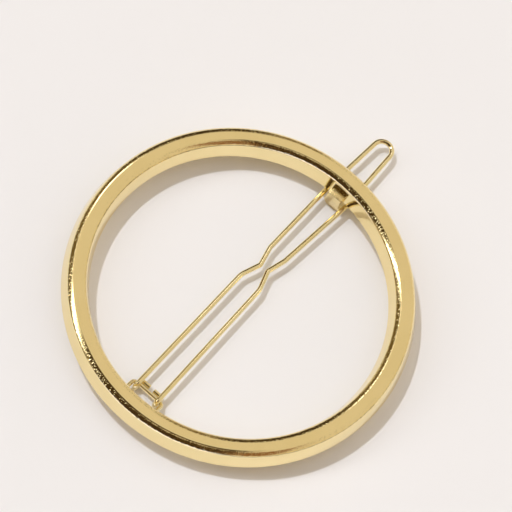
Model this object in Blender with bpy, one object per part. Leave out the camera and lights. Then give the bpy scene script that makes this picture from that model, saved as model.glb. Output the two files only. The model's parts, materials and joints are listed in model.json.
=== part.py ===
"""Round hair clip: a flat-faced metal ring with a wire clasp hinged behind it.

The clip lies face up. +Z leaves the face of the ring, the clasp runs along X from its hinge
to its loop, and the origin is the middle of the footprint, on the surface that the clip lies
on. Lengths are in metres.
"""

import math

import bmesh
import bpy
from mathutils import Quaternion, Vector

# Ring, from the front and in section
RING_DIAMETER = 0.050
RING_WIDTH = 0.0039
RING_DEPTH = 0.0033
FACE_WIDTH = 0.0016
SHOULDER_RADIUS = 0.0007
BACK_CORNER_RADIUS = 0.0004

# Wire of the clasp and of the hinge staple
CLASP_WIRE = 0.00075
STAPLE_WIRE = 0.0006

# Clearances
SEAT_GAP = 0.0003
EYE_CLEARANCE = 0.00012
POST_CLEARANCE = 0.000125
LEG_CLEARANCE = 0.00038
HORN_DROP = 0.00015

# Clasp: spacing of its two legs, from centre to centre, and what lies along them
HINGE_SPACING = 0.0037
SHOULDER_SPACING = 0.0034
NECK_SPACING = 0.0014
OUTER_SHOULDER_SPACING = 0.00284
CATCH_SPACING = 0.0038
LOOP_SPACING = 0.00284
NECK_SHARE = 0.615
NECK_HALF_LENGTH = 0.00295
LOOP_REACH = 0.0066
MIDDLE_BOW = 0.0004
SHOULDER_BEND = 0.003
NECK_BEND = 0.0007
OUTER_SHOULDER_BEND = 0.002
LEG_BEND = 0.006

# Eyes at the ends of the clasp wire
EYE_WRAP = math.radians(215)
TAIL_BEND = 0.00045
TAIL_SPACING = 0.0007

# Hinge staple, brazed under the ring
HINGE_SETBACK = 0.0022
STAPLE_FOLD_SETBACK = 0.0001
STAPLE_FOOT = 0.0022
STAPLE_CORNER_BEND = 0.00055
STAPLE_FOLD_BEND = 0.0008

# Catch, brazed under the ring between the legs
CATCH_SETOUT = 0.0005
CATCH_LENGTH = 0.0021
HORN_OVERHANG = 0.00022
HORN_LAND = 0.0004
HORN_SLOPE = 0.0002
TOE_WIDTH = 0.0015
PAD_REACH = 0.0018
PAD_THICKNESS = 0.0005
RISER_THICKNESS = 0.0004
RISER_HEIGHT = 0.0015
CATCH_BEVEL = 0.0001

# Fineness of the solids
RING_STEPS = 96
CORNER_STEPS = 4
BEND_STEPS = 4
WRAP_STEPS = 12
LOOP_STEPS = 14
WIRE_ROUNDNESS = 3

# Worked out from the sizes above; x is measured from the middle of the ring until PARTS
RING_OUTER = RING_DIAMETER / 2
RING_INNER = RING_OUTER - RING_WIDTH
RING_MIDDLE = RING_OUTER - RING_WIDTH / 2
WIRE_RADIUS = CLASP_WIRE / 2
STAPLE_RADIUS = STAPLE_WIRE / 2
EYE_RADIUS = STAPLE_RADIUS + EYE_CLEARANCE + WIRE_RADIUS
BAR_Z = EYE_RADIUS + WIRE_RADIUS
LEG_Z = BAR_Z + EYE_RADIUS
RING_BACK_Z = LEG_Z + WIRE_RADIUS + SEAT_GAP
HINGE_X = HINGE_SETBACK - RING_INNER
CATCH_X = RING_INNER + CATCH_SETOUT
LOOP_X = RING_OUTER + LOOP_REACH
NECK_X = HINGE_X + NECK_SHARE * (CATCH_X - HINGE_X)
TIP_X = LOOP_X + LOOP_SPACING / 2 + WIRE_RADIUS
RING_X = (RING_OUTER - TIP_X) / 2
POST_Y = HINGE_SPACING / 2 + WIRE_RADIUS + POST_CLEARANCE + STAPLE_RADIUS
NECK_HALF_WIDTH = CATCH_SPACING / 2 - WIRE_RADIUS - LEG_CLEARANCE


def plated(name, colour, roughness):
    """Material of a polished, gold-plated piece."""
    material = bpy.data.materials.new(name)
    material.use_nodes = True
    shader = material.node_tree.nodes["Principled BSDF"]
    shader.inputs["Base Color"].default_value = (*colour, 1)
    shader.inputs["Metallic"].default_value = 1
    shader.inputs["Roughness"].default_value = roughness
    material.diffuse_color = (*colour, 1)
    return material


def link(name, data, material, place=(0, 0, 0)):
    """Object of this name at a place measured from the middle of the ring."""
    made = bpy.data.objects.new(name, data)
    made.location = Vector(place) + Vector((RING_X, 0, 0))
    data.materials.append(material)
    bpy.context.collection.objects.link(made)
    return made


def arc(centre, radius, start, end, steps):
    """Points of an arc in a plane, as (across, up) pairs."""
    angles = [start + (end - start) * i / steps for i in range(steps + 1)]
    return [
        (centre[0] + radius * math.cos(a), centre[1] + radius * math.sin(a))
        for a in angles
    ]


def bend(before, corner, after, radius, steps=BEND_STEPS):
    """Points along the round bend that a wire makes at a corner of its route."""
    back = (before - corner).normalized()
    ahead = (after - corner).normalized()
    half = back.angle(ahead) / 2
    centre = corner + (back + ahead).normalized() * radius / math.sin(half)
    first = corner + back * radius / math.tan(half) - centre
    last = corner + ahead * radius / math.tan(half) - centre
    axis = first.cross(last).normalized()
    sweep = first.angle(last)
    turns = [Quaternion(axis, sweep * i / steps) for i in range(steps + 1)]
    return [centre + turn @ first for turn in turns]


def wire(name, points, diameter, material, place):
    """Round wire along a list of points, closed at both ends."""
    data = bpy.data.curves.new(name, "CURVE")
    data.dimensions = "3D"
    data.bevel_depth = diameter / 2
    data.bevel_resolution = WIRE_ROUNDNESS
    data.use_fill_caps = True
    spline = data.splines.new("POLY")
    spline.points.add(len(points) - 1)
    for slot, point in zip(spline.points, points):
        slot.co = (*point, 1)
    return link(name, data, material, place)


def ring_section():
    """Half of the ring's section, from its back to its face, as (half width, height)."""
    back_centre = (RING_WIDTH / 2 - BACK_CORNER_RADIUS, BACK_CORNER_RADIUS)
    shoulder_centre = (FACE_WIDTH / 2, RING_DEPTH - SHOULDER_RADIUS)
    rise = Vector(shoulder_centre) - Vector(back_centre)
    lean = (BACK_CORNER_RADIUS - SHOULDER_RADIUS) / rise.length
    side = math.atan2(rise.y, rise.x) - math.acos(lean)
    quarter = math.radians(90)
    corner = arc(back_centre, BACK_CORNER_RADIUS, -quarter, side, CORNER_STEPS)
    shoulder = arc(shoulder_centre, SHOULDER_RADIUS, side, quarter, CORNER_STEPS)
    return corner + shoulder


def ring_frame(material):
    """The ring: its section turned about the vertical axis."""
    half = ring_section()
    outline = [(RING_MIDDLE + w, h) for w, h in half]
    outline += [(RING_MIDDLE - w, h) for w, h in reversed(half)]
    shape = bmesh.new()
    corners = [shape.verts.new((x, 0, z)) for x, z in outline]
    edges = [
        shape.edges.new((corner, corners[i - 1])) for i, corner in enumerate(corners)
    ]
    bmesh.ops.spin(
        shape,
        geom=edges,
        cent=(0, 0, 0),
        axis=(0, 0, 1),
        angle=math.radians(360),
        steps=RING_STEPS,
        use_merge=True,
    )
    bmesh.ops.recalc_face_normals(shape, faces=shape.faces)
    data = bpy.data.meshes.new("ring_frame")
    shape.to_mesh(data)
    shape.free()
    data.shade_smooth()
    data.set_sharp_from_angle(angle=math.radians(30))
    return link("ring_frame", data, material, (0, 0, RING_BACK_Z))


def staple_route():
    """Centre line of the hinge staple, from one foot to the other, about the hinge axis."""
    fold_x = -(RING_INNER - STAPLE_FOLD_SETBACK) - HINGE_X
    foot_z = RING_BACK_Z - SEAT_GAP - STAPLE_RADIUS - BAR_Z
    foot = Vector((fold_x - STAPLE_FOOT, POST_Y, foot_z))
    fold = Vector((fold_x, POST_Y, foot_z))
    corner = Vector((0, POST_Y, 0))
    middle = Vector((0, 0, 0))
    half = [foot]
    half += bend(foot, fold, corner, STAPLE_FOLD_BEND)
    half += bend(fold, corner, middle, STAPLE_CORNER_BEND)
    return half + [Vector((p.x, -p.y, p.z)) for p in reversed(half)]


def eye_point(angle, y):
    """Point of the eye's centre line, at an angle back from the top of the hinge bar."""
    return Vector((-EYE_RADIUS * math.sin(angle), y, EYE_RADIUS * math.cos(angle)))


def clasp_strand(side):
    """Centre line of one half of the clasp, from its tail to its loop, about the hinge axis."""
    hinge_y = side * HINGE_SPACING / 2
    wrap_end = eye_point(EYE_WRAP, hinge_y)
    ahead = Vector((-math.cos(EYE_WRAP), 0, -math.sin(EYE_WRAP)))
    corner = wrap_end + ahead * TAIL_BEND
    tail = Vector((corner.x, side * TAIL_SPACING / 2, corner.z))
    route = [tail]
    route += bend(tail, corner, wrap_end, TAIL_BEND)
    route += [
        eye_point(EYE_WRAP * (1 - i / WRAP_STEPS), hinge_y)
        for i in range(1, WRAP_STEPS + 1)
    ]
    neck_x = NECK_X - HINGE_X
    stations = [
        (neck_x - NECK_HALF_LENGTH, SHOULDER_SPACING, MIDDLE_BOW, SHOULDER_BEND),
        (neck_x, NECK_SPACING, MIDDLE_BOW, NECK_BEND),
        (neck_x + NECK_HALF_LENGTH, OUTER_SHOULDER_SPACING, MIDDLE_BOW, OUTER_SHOULDER_BEND),
        (CATCH_X - HINGE_X, CATCH_SPACING, 0, LEG_BEND),
        (LOOP_X - HINGE_X, LOOP_SPACING, 0, 0),
    ]
    places = [route[-1]]
    places += [
        Vector((x, side * spacing / 2 + bow, EYE_RADIUS)) for x, spacing, bow, _ in stations
    ]
    for i in range(1, len(stations)):
        route += bend(places[i - 1], places[i], places[i + 1], stations[i - 1][3])
    return route


def clasp_route():
    """Centre line of the whole clasp wire, from one tail round the loop to the other."""
    quarter = math.radians(90)
    loop = [
        Vector((LOOP_X - HINGE_X + x, y, EYE_RADIUS))
        for x, y in arc((0, 0), LOOP_SPACING / 2, quarter, -quarter, LOOP_STEPS)
    ]
    return clasp_strand(1) + loop + list(reversed(clasp_strand(-1)))


def prism(name, outline, along, depth, material):
    """Outline drawn across X or Y and up, extruded both ways along the other, and bevelled."""
    shape = bmesh.new()
    if along == "Y":
        corners = [shape.verts.new((x, -depth / 2, z)) for x, z in outline]
        reach = (0, depth, 0)
    else:
        corners = [shape.verts.new((-depth / 2, y, z)) for y, z in outline]
        reach = (depth, 0, 0)
    face = shape.faces.new(corners)
    pushed = bmesh.ops.extrude_face_region(shape, geom=[face])["geom"]
    far = [item for item in pushed if isinstance(item, bmesh.types.BMVert)]
    bmesh.ops.translate(shape, verts=far, vec=reach)
    bmesh.ops.recalc_face_normals(shape, faces=shape.faces)
    data = bpy.data.meshes.new(name)
    shape.to_mesh(data)
    shape.free()
    made = link(name, data, material)
    bevel = made.modifiers.new("edges", "BEVEL")
    bevel.width = CATCH_BEVEL
    bevel.segments = 2
    bevel.limit_method = "ANGLE"
    return made


def catch_hook(material):
    """The catch: a pad and neck under the ring, a stop tab inside it, and a horned head."""
    back = CATCH_X - CATCH_LENGTH / 2 - HORN_OVERHANG
    tab_face = RING_INNER - SEAT_GAP - HORN_OVERHANG / 2
    pad_top = RING_BACK_Z - SEAT_GAP
    pad_under = pad_top - PAD_THICKNESS
    horn_top = LEG_Z - WIRE_RADIUS - HORN_DROP
    front = CATCH_X + CATCH_LENGTH / 2
    stem = [
        (tab_face - RISER_THICKNESS, RING_BACK_Z + RISER_HEIGHT),
        (tab_face, RING_BACK_Z + RISER_HEIGHT),
        (tab_face, pad_top),
        (front + PAD_REACH, pad_top),
        (front + PAD_REACH, pad_under),
        (front, pad_under),
        (front, horn_top - HORN_SLOPE),
        (back, horn_top - HORN_SLOPE),
        (back, pad_under),
        (tab_face - RISER_THICKNESS, pad_under),
    ]
    horn = NECK_HALF_WIDTH + HORN_OVERHANG
    head = [
        (TOE_WIDTH / 2, 0),
        (horn, horn_top - HORN_SLOPE - HORN_LAND),
        (horn, horn_top - HORN_SLOPE),
        (NECK_HALF_WIDTH, horn_top),
    ]
    head += [(-y, z) for y, z in reversed(head)]
    made = prism("catch_hook", stem, "Y", 2 * NECK_HALF_WIDTH, material)
    tool = prism("catch_head_shape", head, "X", CATCH_LENGTH, material)
    tool.location.x += CATCH_X
    tool.hide_render = True
    tool.display_type = "WIRE"
    union = made.modifiers.new("head", "BOOLEAN")
    union.operation = "UNION"
    union.object = tool
    return made


def build():
    for old in list(bpy.data.objects):
        bpy.data.objects.remove(old)
    cast = plated("gold_plated_casting", (0.83, 0.63, 0.30), 0.12)
    drawn = plated("gold_plated_wire", (0.82, 0.62, 0.29), 0.18)
    hinge = (HINGE_X, 0, BAR_Z)
    ring_frame(cast)
    catch_hook(cast)
    wire("hinge_staple", staple_route(), STAPLE_WIRE, drawn, hinge)
    wire("clasp_wire", clasp_route(), CLASP_WIRE, drawn, hinge)


build()
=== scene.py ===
"""Looks of the round hair clip: fine surfaces, gold plating, pale floor, studio light, camera.

The clip lies face up in the frame: +Z leaves the face of the ring, and the clasp runs along X
from its hinge to its loop. Lengths are in metres. Heights in the ring's section are measured
from its back, and places along the clasp from the hinge's axis.
"""

import json
import math
from typing import NamedTuple

import bmesh
import bpy
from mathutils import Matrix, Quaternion, Vector


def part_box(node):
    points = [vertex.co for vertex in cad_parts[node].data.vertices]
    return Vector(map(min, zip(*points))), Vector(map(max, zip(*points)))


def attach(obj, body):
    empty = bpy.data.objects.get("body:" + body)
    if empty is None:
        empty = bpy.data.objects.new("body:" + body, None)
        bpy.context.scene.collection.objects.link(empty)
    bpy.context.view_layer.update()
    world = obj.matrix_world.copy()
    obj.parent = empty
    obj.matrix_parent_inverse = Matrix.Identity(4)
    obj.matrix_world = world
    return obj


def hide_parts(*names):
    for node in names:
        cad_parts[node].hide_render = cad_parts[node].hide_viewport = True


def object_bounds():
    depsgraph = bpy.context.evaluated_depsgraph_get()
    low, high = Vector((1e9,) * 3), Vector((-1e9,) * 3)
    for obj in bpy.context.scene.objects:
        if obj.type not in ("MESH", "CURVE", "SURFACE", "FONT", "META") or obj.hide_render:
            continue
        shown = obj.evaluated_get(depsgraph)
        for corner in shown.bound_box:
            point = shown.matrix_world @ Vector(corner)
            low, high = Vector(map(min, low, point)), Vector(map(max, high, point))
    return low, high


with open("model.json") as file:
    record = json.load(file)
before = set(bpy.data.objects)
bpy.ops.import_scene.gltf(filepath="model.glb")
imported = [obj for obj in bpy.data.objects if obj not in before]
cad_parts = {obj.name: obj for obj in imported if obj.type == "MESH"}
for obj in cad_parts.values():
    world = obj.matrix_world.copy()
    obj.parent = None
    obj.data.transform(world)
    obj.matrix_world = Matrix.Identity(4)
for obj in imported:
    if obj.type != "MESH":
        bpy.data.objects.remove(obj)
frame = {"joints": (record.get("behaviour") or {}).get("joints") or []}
CAD_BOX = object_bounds()

# Ring and clasp where the frame has them
RING_LOW, RING_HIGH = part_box("ring_frame")
CLASP_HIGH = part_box("clasp_wire")[1]
STAPLE_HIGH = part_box("hinge_staple")[1]
CATCH_LOW, CATCH_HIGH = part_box("catch_hook")
HINGE = Vector(frame["joints"][0]["pos_m"])
RING_MIDDLE = (RING_LOW + RING_HIGH) / 2
RING_OUTER = (RING_HIGH.x - RING_LOW.x) / 2
RING_BACK_Z = RING_LOW.z
RING_DEPTH = RING_HIGH.z - RING_LOW.z

# Ring section: a flat, then arcs that bend away from it, each up to this angle from the flat
RING_WIDTH = 0.0039
FLAT_WIDTH = 0.0008
SOFT_RADIUS = 0.002
SOFT_ANGLE = math.radians(8)
SHOULDER_RADIUS = 0.00095
SHOULDER_ANGLE = math.radians(60)
SIDE_RADIUS = 0.0003
BACK_CORNER_RADIUS = 0.0004

# Wires
CLASP_WIRE = 0.00075
STAPLE_WIRE = 0.0006
CUT_CHAMFER = 0.00006

# Clasp
HINGE_SPACING = 0.0037
SHOULDER_SPACING = 0.0034
NECK_SPACING = 0.0014
OUTER_SHOULDER_SPACING = 0.00284
CATCH_SPACING = 0.0038
LOOP_SPACING = 0.00284
NECK_SHARE = 0.615
NECK_HALF_LENGTH = 0.00295
MIDDLE_BOW = 0.0004
SHOULDER_BEND = 0.003
NECK_BEND = 0.0007
OUTER_SHOULDER_BEND = 0.002
LEG_BEND = 0.006
EYE_WRAP = math.radians(215)
TAIL_BEND = 0.00045
TAIL_SPACING = 0.0007

# Hinge staple
STAPLE_FOLD_SETBACK = 0.0001
STAPLE_FOOT = 0.0022
STAPLE_CORNER_BEND = 0.00055
STAPLE_FOLD_BEND = 0.0008

# Catch
CATCH_SETOUT = 0.0005
CATCH_LENGTH = 0.0021
HORN_OVERHANG = 0.00022
HORN_LAND = 0.0004
HORN_SLOPE = 0.0002
HORN_DROP = 0.00015
TOE_WIDTH = 0.0015
PAD_REACH = 0.0018
PAD_THICKNESS = 0.0005
RISER_THICKNESS = 0.0004
SEAT_GAP = 0.0003
LEG_CLEARANCE = 0.00038
CATCH_BEVEL = 0.0001
TAB_SINK = 0.0004

# Braze that joins the staple and the catch to the ring's back. Along a staple foot its size
# follows half a sine wave, less a share of each end, times its fullness and at most whole.
BRAZE_SPREAD = 0.00055
BRAZE_OVERRUN = 0.00028
BRAZE_SINK = 0.00004
BRAZE_BEAD = 0.00026
BRAZE_FULLNESS = 1.6
BRAZE_END_SHARE = 0.02

# Fineness of the surfaces
RING_STEPS = 360
CORNER_STEPS = 8
BEND_STEPS = 10
WRAP_STEPS = 28
LOOP_STEPS = 32
WIRE_SIDES = 20
BRAZE_STEPS = 24
BEVEL_STEPS = 4
SHARP_ANGLE = math.radians(40)
CLEAN_DISTANCE = 0.000002

# Photograph's view: azimuth from -Y towards +X, elevation and roll, the place in the middle of
# the picture, from the middle of the ring, and how wide the picture is at the clip
VIEW_AZIMUTH = math.radians(-71.42)
VIEW_ELEVATION = math.radians(66.82)
VIEW_ROLL = math.radians(24.16)
AIM_RIGHT = 0.002282
AIM_UP = 0.005559
FRAME_WIDTH = 0.07123
LENS_MM = 250
SENSOR_MM = 36

# Floor
FLOOR_HALF = 2.0
FLOOR_DROP = 0.00002
FLOOR_COLOUR = (0.91, 0.885, 0.87)
FLOOR_ROUGHNESS = 0.9
FLOOR_SPECULAR = 0.1


class Finish(NamedTuple):
    """Plating: its two tones, its roughness and the height of its specks."""

    name: str
    colour: tuple
    deep: tuple
    roughness: float
    speck: float


RING_FINISH = Finish(
    "plated_ring", (0.953, 0.795, 0.43), (0.928, 0.77, 0.405), roughness=0.07, speck=0.00001
)
CATCH_FINISH = Finish(
    "plated_catch", (0.95, 0.79, 0.43), (0.90, 0.74, 0.38), roughness=0.22, speck=0.000005
)
WIRE_FINISH = Finish(
    "plated_wire", (0.938, 0.818, 0.50), (0.908, 0.783, 0.45), roughness=0.09, speck=0.000002
)

# What varies over the plating: how large it is, the part of its noise over which it sets in,
# and what it adds to the roughness or the height
TONE_SIZE = 0.006
TONE_RANGE = (0.35, 0.65)
HAZE_SIZE = 0.0009
HAZE_RANGE = (0.3, 0.7)
HAZE_ROUGHNESS = (-0.02, 0.03)
SCRATCH_SIZE = 0.00008
SCRATCH_RANGE = (0.62, 0.72)
SCRATCH_ROUGHNESS = (0, 0.06)
SPECK_SIZE = 0.00022
SPECK_RANGE = (0.5, 0.7)
SWELL_SIZE = 0.0016
SWELL_HEIGHT = 0.000004

# Depths under the ring's face over which the specks fade out towards the face, and over which
# they grow, from a share on the sides to their whole height on the shoulders
FACE_FADE = (0.00004, 0.000009)
SHOULDER_GROWTH = (0.0005, 0.0002)
SIDE_SPECK_SHARE = 0.1

# Polishing lines round the ring, and how often one changes in a radian
LINE_SPACING = 0.00004
LINE_CHANGES = 5
LINE_HEIGHT = 0.00000015


class Patch(NamedTuple):
    """Window or screen of the studio, seen from the ring's face, with angles in degrees.

    Turns go round the direction that the face mirrors to the camera, from 0 on the camera's
    side, and tilts lead away from that direction. The edges are this soft to both sides.
    """

    colour: tuple
    turns: tuple
    tilts: tuple
    soft: float


# A later patch covers an earlier one
SKY = (0.739, 0.651, 0.518)
PATCHES = (
    Patch((1.5, 1.6, 2.3), (-50, 60), (102, 130), 5),  # low window on the camera's side
    Patch((0.06, 0.04, 0.018), (-172, -124), (13, 84), 6),  # thin dark lines
    Patch((0.22, 0.15, 0.07), (174, 184), (18, 58), 4),  # where those lines fade
    Patch((0.22, 0.15, 0.07), (-184, -170), (18, 58), 4),  # the same, past half a turn
    Patch((0.13, 0.09, 0.04), (-128, -108), (24, 62), 6),  # beside the thin glints
    Patch((0.15, 0.105, 0.045), (-112, -46), (26, 98), 6),  # round the long glints
    Patch((4.0, 4.0, 4.0), (-116, -94), (11, 17), 3),  # thin glints
    Patch((0.06, 0.036, 0.015), (-46, 24), (9, 100), 3),  # dark bands
    Patch((0.27, 0.13, 0.055), (22, 44), (30, 88), 7),  # their reddish ends
    Patch((7.0, 7.0, 7.0), (-64, -55), (15, 78), 6),  # long glints
)

# Window straight above the clip and dark strip along the horizon, by angles from straight up
ZENITH_WINDOW = (0.70, 0.60, 0.46)
ZENITH_EDGE = (3.5, 7.5)
HORIZON = (0.10, 0.06, 0.03)
HORIZON_EDGE = (83, 85)
HORIZON_TURNS = (18, 115)
HORIZON_SOFT = 8


class Lamp(NamedTuple):
    """Distant lamp: its direction, its strength and the width of its disc, in degrees."""

    name: str
    azimuth: float
    elevation: float
    strength: float
    width: float
    colour: tuple


LAMPS = (
    Lamp("key", 97, 66, 1.2, 2, (0.84, 0.90, 1.0)),
    Lamp("fill", 0, 90, 0.545, 80, (0.845, 0.905, 1.0)),
)

# Worked out from the sizes above
RING_INNER = RING_OUTER - RING_WIDTH
RING_LINE = RING_OUTER - RING_WIDTH / 2
WIRE_RADIUS = CLASP_WIRE / 2
STAPLE_RADIUS = STAPLE_WIRE / 2
EYE_RADIUS = CLASP_HIGH.z - WIRE_RADIUS - HINGE.z
RING_X = RING_MIDDLE.x
CATCH_X = RING_X + RING_INNER + CATCH_SETOUT
LOOP_X = CLASP_HIGH.x - WIRE_RADIUS - LOOP_SPACING / 2
NECK_X = HINGE.x + NECK_SHARE * (CATCH_X - HINGE.x)
POST_Y = STAPLE_HIGH.y - STAPLE_RADIUS
NECK_HALF_WIDTH = CATCH_SPACING / 2 - WIRE_RADIUS - LEG_CLEARANCE


def arc(centre, radius, start, end, steps):
    """Points of an arc in a plane, as (across, up) pairs."""
    angles = [start + (end - start) * i / steps for i in range(steps + 1)]
    return [
        (centre[0] + radius * math.cos(a), centre[1] + radius * math.sin(a))
        for a in angles
    ]


def bend(before, corner, after, radius, steps=BEND_STEPS):
    """Points along the round bend that a wire makes at a corner of its route."""
    back = (before - corner).normalized()
    ahead = (after - corner).normalized()
    half = back.angle(ahead) / 2
    centre = corner + (back + ahead).normalized() * radius / math.sin(half)
    first = corner + back * radius / math.tan(half) - centre
    last = corner + ahead * radius / math.tan(half) - centre
    axis = first.cross(last).normalized()
    sweep = first.angle(last)
    turns = [Quaternion(axis, sweep * i / steps) for i in range(steps + 1)]
    return [centre + turn @ first for turn in turns]


def piece(name, data, material, slot, body, *nodes):
    """Object that rides on a body, takes a finish and stands for some CAD nodes; its slot is
    not used.
    """
    made = bpy.data.objects.new(name, data)
    bpy.context.collection.objects.link(made)
    data.materials.append(material)
    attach(made, body)
    if nodes:
        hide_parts(*nodes)
    return made


def shade(data):
    """Shades a mesh smooth except at its sharp edges."""
    data.shade_smooth()
    data.set_sharp_from_angle(angle=SHARP_ANGLE)


def mesh_of(name, shape):
    """Shaded mesh of a bmesh, which is used up."""
    bmesh.ops.recalc_face_normals(shape, faces=shape.faces)
    data = bpy.data.meshes.new(name)
    shape.to_mesh(data)
    shape.free()
    shade(data)
    return data


def skin(shape, hoops):
    """Closes a row of hoops, each with as many vertices, into one skin with two ends."""
    for a, b in zip(hoops, hoops[1:]):
        for k in range(len(a)):
            shape.faces.new((a[k - 1], a[k], b[k], b[k - 1]))
    shape.faces.new(hoops[0])
    shape.faces.new(hoops[-1])


def ring_section():
    """Half of the ring's section, from its back to its face, as (half width, height)."""
    upright = math.radians(90)
    soft_lean = Vector((math.sin(SOFT_ANGLE), math.cos(SOFT_ANGLE)))
    shoulder_lean = Vector((math.sin(SHOULDER_ANGLE), math.cos(SHOULDER_ANGLE)))
    soft = Vector((FLAT_WIDTH / 2, RING_DEPTH - SOFT_RADIUS))
    shoulder = soft + (SOFT_RADIUS - SHOULDER_RADIUS) * soft_lean
    side = shoulder + (SHOULDER_RADIUS - SIDE_RADIUS) * shoulder_lean
    back = Vector((RING_WIDTH / 2 - BACK_CORNER_RADIUS, BACK_CORNER_RADIUS))
    rise = side - back
    lean = (BACK_CORNER_RADIUS - SIDE_RADIUS) / rise.length
    slope = math.atan2(rise.y, rise.x) - math.acos(lean)
    angles = [upright, upright - SOFT_ANGLE, upright - SHOULDER_ANGLE, slope]
    face = arc(soft, SOFT_RADIUS, angles[0], angles[1], CORNER_STEPS)
    face += arc(shoulder, SHOULDER_RADIUS, angles[1], angles[2], CORNER_STEPS)[1:]
    face += arc(side, SIDE_RADIUS, angles[2], angles[3], CORNER_STEPS)[1:]
    return arc(back, BACK_CORNER_RADIUS, -upright, slope, CORNER_STEPS) + face[::-1]


def make_ring(material):
    """The ring: its section turned about the vertical axis."""
    half = ring_section()
    outline = [(RING_LINE + w, h) for w, h in half]
    outline += [(RING_LINE - w, h) for w, h in reversed(half)]
    shape = bmesh.new()
    corners = [shape.verts.new((RING_X + x, 0, RING_BACK_Z + z)) for x, z in outline]
    edges = [shape.edges.new((corner, corners[i - 1])) for i, corner in enumerate(corners)]
    bmesh.ops.spin(
        shape,
        geom=edges,
        cent=(RING_X, 0, 0),
        axis=(0, 0, 1),
        angle=math.radians(360),
        steps=RING_STEPS,
        use_merge=True,
    )
    data = mesh_of("ring", shape)
    piece("ring", data, material, "gold_plated_casting", "ring_body", "ring_frame")


def staple_route():
    """Centre line of the hinge staple, from one foot to the other, about the hinge axis."""
    fold_x = RING_X - (RING_INNER - STAPLE_FOLD_SETBACK) - HINGE.x
    foot_z = RING_BACK_Z - SEAT_GAP - STAPLE_RADIUS - HINGE.z
    foot = Vector((fold_x - STAPLE_FOOT, POST_Y, foot_z))
    fold = Vector((fold_x, POST_Y, foot_z))
    corner = Vector((0, POST_Y, 0))
    middle = Vector((0, 0, 0))
    half = [foot]
    half += bend(foot, fold, corner, STAPLE_FOLD_BEND)
    half += bend(fold, corner, middle, STAPLE_CORNER_BEND)
    return half + [Vector((p.x, -p.y, p.z)) for p in reversed(half)]


def eye_point(angle, y):
    """Point of the eye's centre line, at an angle back from the top of the hinge bar."""
    return Vector((-EYE_RADIUS * math.sin(angle), y, EYE_RADIUS * math.cos(angle)))


def clasp_strand(side):
    """Centre line of one half of the clasp, from its tail to its loop, about the hinge axis."""
    hinge_y = side * HINGE_SPACING / 2
    wrap_end = eye_point(EYE_WRAP, hinge_y)
    ahead = Vector((-math.cos(EYE_WRAP), 0, -math.sin(EYE_WRAP)))
    corner = wrap_end + ahead * TAIL_BEND
    tail = Vector((corner.x, side * TAIL_SPACING / 2, corner.z))
    route = [tail]
    route += bend(tail, corner, wrap_end, TAIL_BEND)
    route += [
        eye_point(EYE_WRAP * (1 - i / WRAP_STEPS), hinge_y) for i in range(1, WRAP_STEPS + 1)
    ]
    neck_x = NECK_X - HINGE.x
    outer_shoulder_x = neck_x + NECK_HALF_LENGTH
    stations = [
        (neck_x - NECK_HALF_LENGTH, SHOULDER_SPACING, MIDDLE_BOW, SHOULDER_BEND),
        (neck_x, NECK_SPACING, MIDDLE_BOW, NECK_BEND),
        (outer_shoulder_x, OUTER_SHOULDER_SPACING, MIDDLE_BOW, OUTER_SHOULDER_BEND),
        (CATCH_X - HINGE.x, CATCH_SPACING, 0, LEG_BEND),
        (LOOP_X - HINGE.x, LOOP_SPACING, 0, 0),
    ]
    places = [route[-1]]
    places += [
        Vector((x, side * spacing / 2 + bow, EYE_RADIUS)) for x, spacing, bow, _ in stations
    ]
    for i in range(1, len(stations)):
        route += bend(places[i - 1], places[i], places[i + 1], stations[i - 1][3])
    return route


def clasp_route():
    """Centre line of the whole clasp wire, from one tail round the loop to the other."""
    quarter = math.radians(90)
    loop = [
        Vector((LOOP_X - HINGE.x + x, y, EYE_RADIUS))
        for x, y in arc((0, 0), LOOP_SPACING / 2, quarter, -quarter, LOOP_STEPS)
    ]
    return clasp_strand(1) + loop + list(reversed(clasp_strand(-1)))


def tube(name, route, diameter):
    """Round wire along a route about the hinge axis, its cut ends chamfered."""
    points = [HINGE + p for p in route]
    ahead = [(b - a).normalized() for a, b in zip(points, points[1:])]
    headings = [(a + b).normalized() for a, b in zip(ahead, ahead[1:])]
    headings = [ahead[0], *headings, ahead[-1]]
    first, last = points[0], points[-1]
    points[0] = first + headings[0] * CUT_CHAMFER
    points[-1] = last - headings[-1] * CUT_CHAMFER
    sizes = [diameter / 2] * len(points)
    cut_size = diameter / 2 - CUT_CHAMFER
    points = [first, *points, last]
    headings = [headings[0], *headings, headings[-1]]
    sizes = [cut_size, *sizes, cut_size]
    turns = [2 * math.pi * k / WIRE_SIDES for k in range(WIRE_SIDES)]
    shape = bmesh.new()
    across = headings[0].orthogonal().normalized()
    hoops = []
    for i, (point, heading, size) in enumerate(zip(points, headings, sizes)):
        if i:
            across = headings[i - 1].rotation_difference(heading) @ across
        other = heading.cross(across)
        spokes = [across * math.cos(t) + other * math.sin(t) for t in turns]
        hoops.append([shape.verts.new(point + spoke * size) for spoke in spokes])
    skin(shape, hoops)
    return mesh_of(name, shape)


def prism(name, outline, along, depth, centre=0):
    """Outline drawn across X or Y and up, extruded both ways along the other."""
    start = centre - depth / 2
    shape = bmesh.new()
    if along == "Y":
        corners = [shape.verts.new((x, start, z)) for x, z in outline]
        reach = (0, depth, 0)
    else:
        corners = [shape.verts.new((start, y, z)) for y, z in outline]
        reach = (depth, 0, 0)
    face = shape.faces.new(corners)
    pushed = bmesh.ops.extrude_face_region(shape, geom=[face])["geom"]
    far = [item for item in pushed if isinstance(item, bmesh.types.BMVert)]
    bmesh.ops.translate(shape, verts=far, vec=reach)
    return mesh_of(name, shape)


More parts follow.
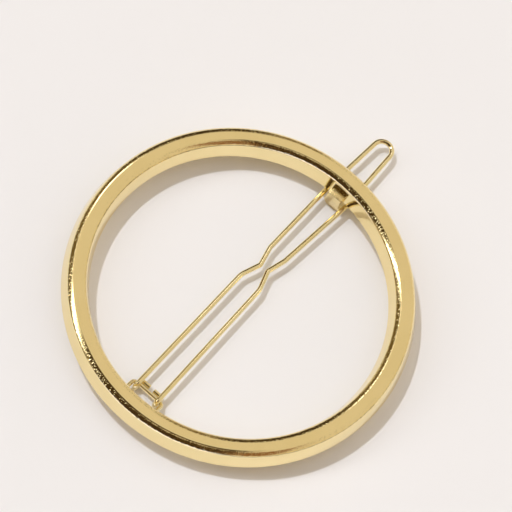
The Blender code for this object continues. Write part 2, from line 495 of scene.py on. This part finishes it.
def catch_outlines():
    """Outlines of the catch: its stem across X and up, and its head across Y and up."""
    back = CATCH_X - CATCH_LENGTH / 2 - HORN_OVERHANG
    front = CATCH_X + CATCH_LENGTH / 2
    inner_x = RING_X + RING_INNER
    tab_back = inner_x - SEAT_GAP - HORN_OVERHANG / 2 - RISER_THICKNESS
    pad_under = RING_BACK_Z - SEAT_GAP - PAD_THICKNESS
    horn_top = CLASP_HIGH.z - CLASP_WIRE - HORN_DROP
    stem = [
        (tab_back, CATCH_HIGH.z),
        (inner_x + TAB_SINK, CATCH_HIGH.z),
        (inner_x + BRAZE_SINK, RING_BACK_Z + BACK_CORNER_RADIUS),
        (front + PAD_REACH, RING_BACK_Z + BRAZE_SINK),
        (front + PAD_REACH, pad_under),
        (front, pad_under),
        (front, horn_top - HORN_SLOPE),
        (back, horn_top - HORN_SLOPE),
        (back, pad_under),
        (tab_back, pad_under),
    ]
    horn = NECK_HALF_WIDTH + HORN_OVERHANG
    head = [
        (TOE_WIDTH / 2, CATCH_LOW.z),
        (horn, horn_top - HORN_SLOPE - HORN_LAND),
        (horn, horn_top - HORN_SLOPE),
        (NECK_HALF_WIDTH, horn_top),
    ]
    return stem, head + [(-y, z) for y, z in reversed(head)]


def make_catch(material):
    """The catch: a pad and neck under the ring, a stop tab inside it, and a horned head."""
    stem, head = catch_outlines()
    data = prism("catch", stem, "Y", 2 * NECK_HALF_WIDTH)
    made = piece("catch", data, material, "gold_plated_casting", "ring_body", "catch_hook")
    tool = bpy.data.objects.new("head", prism("head", head, "X", CATCH_LENGTH, CATCH_X))
    bpy.context.collection.objects.link(tool)
    union = made.modifiers.new("head", "BOOLEAN")
    union.operation = "UNION"
    union.object = tool
    bevel = made.modifiers.new("edges", "BEVEL")
    bevel.width = CATCH_BEVEL
    bevel.segments = BEVEL_STEPS
    bevel.limit_method = "ANGLE"
    bpy.context.view_layer.update()
    evaluated = made.evaluated_get(bpy.context.evaluated_depsgraph_get())
    final = bpy.data.meshes.new_from_object(evaluated)
    made.modifiers.clear()
    bpy.data.objects.remove(tool)
    shape = bmesh.new()
    shape.from_mesh(final)
    bmesh.ops.remove_doubles(shape, verts=shape.verts, dist=CLEAN_DISTANCE)
    bmesh.ops.dissolve_degenerate(shape, edges=shape.edges, dist=CLEAN_DISTANCE)
    shape.to_mesh(final)
    shape.free()
    shade(final)
    made.data = final


def braze_foot(name, side, material):
    """Fillet of braze that runs from the ring's back down both flanks of a staple foot."""
    foot_z = RING_BACK_Z - SEAT_GAP - STAPLE_RADIUS
    low = RING_X - RING_INNER + STAPLE_FOLD_SETBACK - STAPLE_FOOT - BRAZE_OVERRUN
    high = RING_X - RING_INNER - BACK_CORNER_RADIUS
    top = RING_BACK_Z + BRAZE_SINK
    drop = top - foot_z
    flare = BRAZE_SPREAD - STAPLE_RADIUS
    quarter = math.radians(90)
    flank = [
        (BRAZE_SPREAD + across * flare, (up - 1) * drop)
        for across, up in arc((0, 0), 1, quarter, 2 * quarter, CORNER_STEPS)
    ]
    outline = flank + [(-y, z) for y, z in reversed(flank)]
    shape = bmesh.new()
    hoops = []
    for i in range(BRAZE_STEPS + 1):
        turn = math.pi * (BRAZE_END_SHARE + (1 - 2 * BRAZE_END_SHARE) * i / BRAZE_STEPS)
        x = (low + high) / 2 - (high - low) / 2 * math.cos(turn)
        size = min(1, BRAZE_FULLNESS * math.sin(turn))
        places = [(x, side * POST_Y + y * size, top + z * size) for y, z in outline]
        hoops.append([shape.verts.new(place) for place in places])
    skin(shape, hoops)
    piece(name, mesh_of(name, shape), material, "gold_plated_casting", "ring_body")


def braze_catch(material):
    """Bead of braze round the catch's pad, on the ring's back."""
    near = RING_X + RING_INNER + BACK_CORNER_RADIUS
    far = CATCH_X + CATCH_LENGTH / 2 + PAD_REACH
    start, corner = [
        Vector((x, NECK_HALF_WIDTH, RING_BACK_Z)) - HINGE for x in (near, far)
    ]
    middle = Vector((corner.x, 0, corner.z))
    route = [start] + bend(start, corner, middle, BRAZE_BEAD)
    route += [Vector((p.x, -p.y, p.z)) for p in reversed(route)]
    data = tube("braze_catch", route, BRAZE_BEAD)
    piece("braze_catch", data, material, "gold_plated_casting", "ring_body")


def math_node(tree, operation, first, second=None):
    """Math node whose inputs are numbers or sockets."""
    node = tree.nodes.new("ShaderNodeMath")
    node.operation = operation
    for slot, value in zip(node.inputs, (first, second)):
        if value is None:
            continue
        if isinstance(value, (int, float)):
            slot.default_value = value
        else:
            tree.links.new(value, slot)
    return node.outputs[0]


def ramp(tree, value, low, high, to_low=0.0, to_high=1.0):
    """Value eased from one range into another."""
    node = tree.nodes.new("ShaderNodeMapRange")
    node.interpolation_type = "SMOOTHSTEP"
    tree.links.new(value, node.inputs["Value"])
    node.inputs["From Min"].default_value = low
    node.inputs["From Max"].default_value = high
    node.inputs["To Min"].default_value = to_low
    node.inputs["To Max"].default_value = to_high
    return node.outputs[0]


def within(tree, value, low, high, soft):
    """Share that is 1 between two values and eases to 0 beyond them."""
    rise = ramp(tree, value, low - soft, low + soft)
    fall = ramp(tree, value, high - soft, high + soft, 1, 0)
    return math_node(tree, "MULTIPLY", rise, fall)


def noise(tree, vector, size, detail=2.0):
    """Noise whose features are about this size."""
    node = tree.nodes.new("ShaderNodeTexNoise")
    tree.links.new(vector, node.inputs["Vector"])
    node.inputs["Scale"].default_value = 1 / size
    node.inputs["Detail"].default_value = detail
    return node.outputs[0]


def separate(tree, vector):
    """Sockets X, Y and Z of a vector."""
    node = tree.nodes.new("ShaderNodeSeparateXYZ")
    tree.links.new(vector, node.inputs[0])
    return node.outputs


def blend_colours(tree, share, first, second):
    """Mix of two colours, each a tuple or a socket, in the node's sockets for colours."""
    node = tree.nodes.new("ShaderNodeMix")
    node.data_type = "RGBA"
    tree.links.new(share, node.inputs[0])
    for slot, colour in zip(node.inputs[6:8], (first, second)):
        if isinstance(colour, tuple):
            slot.default_value = (*colour, 1)
        else:
            tree.links.new(colour, slot)
    return node.outputs[2]


def ring_specks(tree, place, specks):
    """Height of the specks on the ring: none on its face, and most on its shoulders."""
    z = separate(tree, place)["Z"]
    deep, shallow = (RING_HIGH.z - depth for depth in FACE_FADE)
    specks = math_node(tree, "MULTIPLY", specks, ramp(tree, z, deep, shallow, 1, 0))
    deep, shallow = (RING_HIGH.z - depth for depth in SHOULDER_GROWTH)
    growth = ramp(tree, z, deep, shallow, SIDE_SPECK_SHARE, 1)
    return math_node(tree, "MULTIPLY", specks, growth)


def polishing(tree, place):
    """Height of fine lines that run round the ring."""
    split = separate(tree, place)
    x = math_node(tree, "SUBTRACT", split["X"], RING_X)
    y = split["Y"]
    reach = math_node(tree, "POWER", x, 2)
    reach = math_node(tree, "ADD", reach, math_node(tree, "POWER", y, 2))
    reach = math_node(tree, "SQRT", reach)
    turn = math_node(tree, "MULTIPLY", math_node(tree, "ARCTAN2", y, x), LINE_CHANGES)
    join = tree.nodes.new("ShaderNodeCombineXYZ")
    tree.links.new(math_node(tree, "DIVIDE", reach, LINE_SPACING), join.inputs["X"])
    tree.links.new(turn, join.inputs["Y"])
    lines = noise(tree, join.outputs[0], size=1)
    return math_node(tree, "MULTIPLY", lines, LINE_HEIGHT)


def gold(finish, ring=False):
    """Gold plating: even tone, faint haze, scratches and swell, and fine specks.

    On the ring the specks gather on its shoulders, and polishing lines run round it.
    """
    material = bpy.data.materials.new(finish.name)
    material.use_nodes = True
    tree = material.node_tree
    shader = tree.nodes["Principled BSDF"]
    shader.inputs["Metallic"].default_value = 1
    place = tree.nodes.new("ShaderNodeTexCoord").outputs["Object"]
    tone = ramp(tree, noise(tree, place, TONE_SIZE), *TONE_RANGE)
    colour = blend_colours(tree, tone, finish.colour, finish.deep)
    tree.links.new(colour, shader.inputs["Base Color"])
    haze = ramp(tree, noise(tree, place, HAZE_SIZE), *HAZE_RANGE, *HAZE_ROUGHNESS)
    scratch = noise(tree, place, SCRATCH_SIZE)
    scratch = ramp(tree, scratch, *SCRATCH_RANGE, *SCRATCH_ROUGHNESS)
    rough = math_node(tree, "ADD", haze, scratch)
    rough = math_node(tree, "ADD", rough, finish.roughness)
    tree.links.new(rough, shader.inputs["Roughness"])
    specks = noise(tree, place, SPECK_SIZE, detail=0.0)
    specks = ramp(tree, specks, *SPECK_RANGE, 0, finish.speck)
    if ring:
        specks = ring_specks(tree, place, specks)
        specks = math_node(tree, "ADD", specks, polishing(tree, place))
    swell = noise(tree, place, SWELL_SIZE, detail=1.0)
    swell = math_node(tree, "MULTIPLY", swell, SWELL_HEIGHT)
    bump = tree.nodes.new("ShaderNodeBump")
    bump.inputs["Distance"].default_value = 1
    tree.links.new(math_node(tree, "ADD", swell, specks), bump.inputs["Height"])
    tree.links.new(bump.outputs[0], shader.inputs["Normal"])
    return material


def make_floor():
    """Plain pale floor."""
    data = bpy.data.meshes.new("floor")
    half = FLOOR_HALF
    corners = [(-half, -half, 0), (half, -half, 0), (half, half, 0), (-half, half, 0)]
    data.from_pydata(corners, [], [(0, 1, 2, 3)])
    floor = bpy.data.objects.new("floor", data)
    floor.location.z = CAD_BOX[0].z - FLOOR_DROP
    bpy.context.collection.objects.link(floor)
    material = bpy.data.materials.new("floor")
    material.use_nodes = True
    shader = material.node_tree.nodes["Principled BSDF"]
    shader.inputs["Base Color"].default_value = (*FLOOR_COLOUR, 1)
    shader.inputs["Roughness"].default_value = FLOOR_ROUGHNESS
    shader.inputs["Specular IOR Level"].default_value = FLOOR_SPECULAR
    data.materials.append(material)


def view_back():
    """Direction from the clip to the camera."""
    return Vector(
        (
            math.sin(VIEW_AZIMUTH) * math.cos(VIEW_ELEVATION),
            -math.cos(VIEW_AZIMUTH) * math.cos(VIEW_ELEVATION),
            math.sin(VIEW_ELEVATION),
        )
    )


def ray_along(tree, direction):
    """Part of a ray of the world that points one way."""
    place = tree.nodes.new("ShaderNodeTexCoord").outputs["Generated"]
    dot = tree.nodes.new("ShaderNodeVectorMath")
    dot.operation = "DOT_PRODUCT"
    tree.links.new(place, dot.inputs[0])
    dot.inputs[1].default_value = direction
    return dot.outputs["Value"]


def angle_from(tree, direction):
    """Angle in degrees between a ray of the world and a direction."""
    angle = math_node(tree, "ARCCOSINE", ray_along(tree, direction))
    return math_node(tree, "DEGREES", angle)


def make_world():
    """Studio: dark screens and bright windows in a pale dome."""
    world = bpy.data.worlds.new("studio")
    world.use_nodes = True
    bpy.context.scene.world = world
    tree = world.node_tree
    back = view_back()
    mirror = Vector((-back.x, -back.y, back.z))
    front = (back - mirror * back.dot(mirror)).normalized()
    aside = ray_along(tree, mirror.cross(front))
    turn = math_node(tree, "ARCTAN2", aside, ray_along(tree, front))
    turn = math_node(tree, "DEGREES", turn)
    tilt = angle_from(tree, mirror)
    colour = SKY
    for patch in PATCHES:
        across = within(tree, turn, *patch.turns, patch.soft)
        away = within(tree, tilt, *patch.tilts, patch.soft)
        share = math_node(tree, "MULTIPLY", across, away)
        colour = blend_colours(tree, share, colour, patch.colour)
    from_up = angle_from(tree, Vector((0, 0, 1)))
    across = within(tree, turn, *HORIZON_TURNS, HORIZON_SOFT)
    share = math_node(tree, "MULTIPLY", across, ramp(tree, from_up, *HORIZON_EDGE))
    colour = blend_colours(tree, share, colour, HORIZON)
    share = ramp(tree, from_up, *ZENITH_EDGE, 1, 0)
    colour = blend_colours(tree, share, colour, ZENITH_WINDOW)
    background = tree.nodes["Background"]
    background.inputs["Strength"].default_value = 1.0
    tree.links.new(colour, background.inputs["Color"])


def toward(azimuth, elevation):
    """Direction at an azimuth from +X, turning to +Y, and an elevation, in degrees."""
    a, e = math.radians(azimuth), math.radians(elevation)
    return Vector((math.cos(a) * math.cos(e), math.sin(a) * math.cos(e), math.sin(e)))


def make_lamp(lamp):
    """Distant lamp that the plating doesn't mirror: the studio's windows do that."""
    data = bpy.data.lights.new(lamp.name, "SUN")
    data.energy = lamp.strength
    data.angle = math.radians(lamp.width)
    data.color = lamp.colour
    made = bpy.data.objects.new(lamp.name, data)
    made.rotation_mode = "QUATERNION"
    direction = toward(lamp.azimuth, lamp.elevation)
    made.rotation_quaternion = direction.to_track_quat("Z", "Y")
    made.visible_glossy = False
    bpy.context.collection.objects.link(made)


def make_camera():
    """Camera at the photograph's viewing angle."""
    back = view_back()
    turn = back.to_track_quat("Z", "Y") @ Quaternion((0, 0, 1), VIEW_ROLL)
    right, up = turn @ Vector((1, 0, 0)), turn @ Vector((0, 1, 0))
    data = bpy.data.cameras.new("camera")
    data.lens = LENS_MM
    data.sensor_width = SENSOR_MM
    middle = Vector((RING_X, 0, RING_BACK_Z + BACK_CORNER_RADIUS))
    aim = middle + right * AIM_RIGHT + up * AIM_UP
    distance = FRAME_WIDTH * LENS_MM / SENSOR_MM
    camera = bpy.data.objects.new("camera", data)
    camera.rotation_mode = "QUATERNION"
    camera.rotation_quaternion = turn
    camera.location = aim + back * distance
    bpy.context.collection.objects.link(camera)
    bpy.context.scene.camera = camera


def build():
    """Everything around the frame."""
    polished = gold(RING_FINISH, ring=True)
    cast = gold(CATCH_FINISH)
    drawn = gold(WIRE_FINISH)
    make_ring(polished)
    make_catch(cast)
    braze_foot("braze_left", 1, cast)
    braze_foot("braze_right", -1, cast)
    braze_catch(cast)
    staple = tube("staple", staple_route(), STAPLE_WIRE)
    piece("staple", staple, drawn, "gold_plated_wire", "ring_body", "hinge_staple")
    clasp = tube("clasp", clasp_route(), CLASP_WIRE)
    piece("clasp", clasp, drawn, "gold_plated_wire", "clasp", "clasp_wire")
    make_floor()
    make_world()
    for lamp in LAMPS:
        make_lamp(lamp)
    make_camera()
    bpy.context.scene.view_settings.view_transform = "Standard"


build()
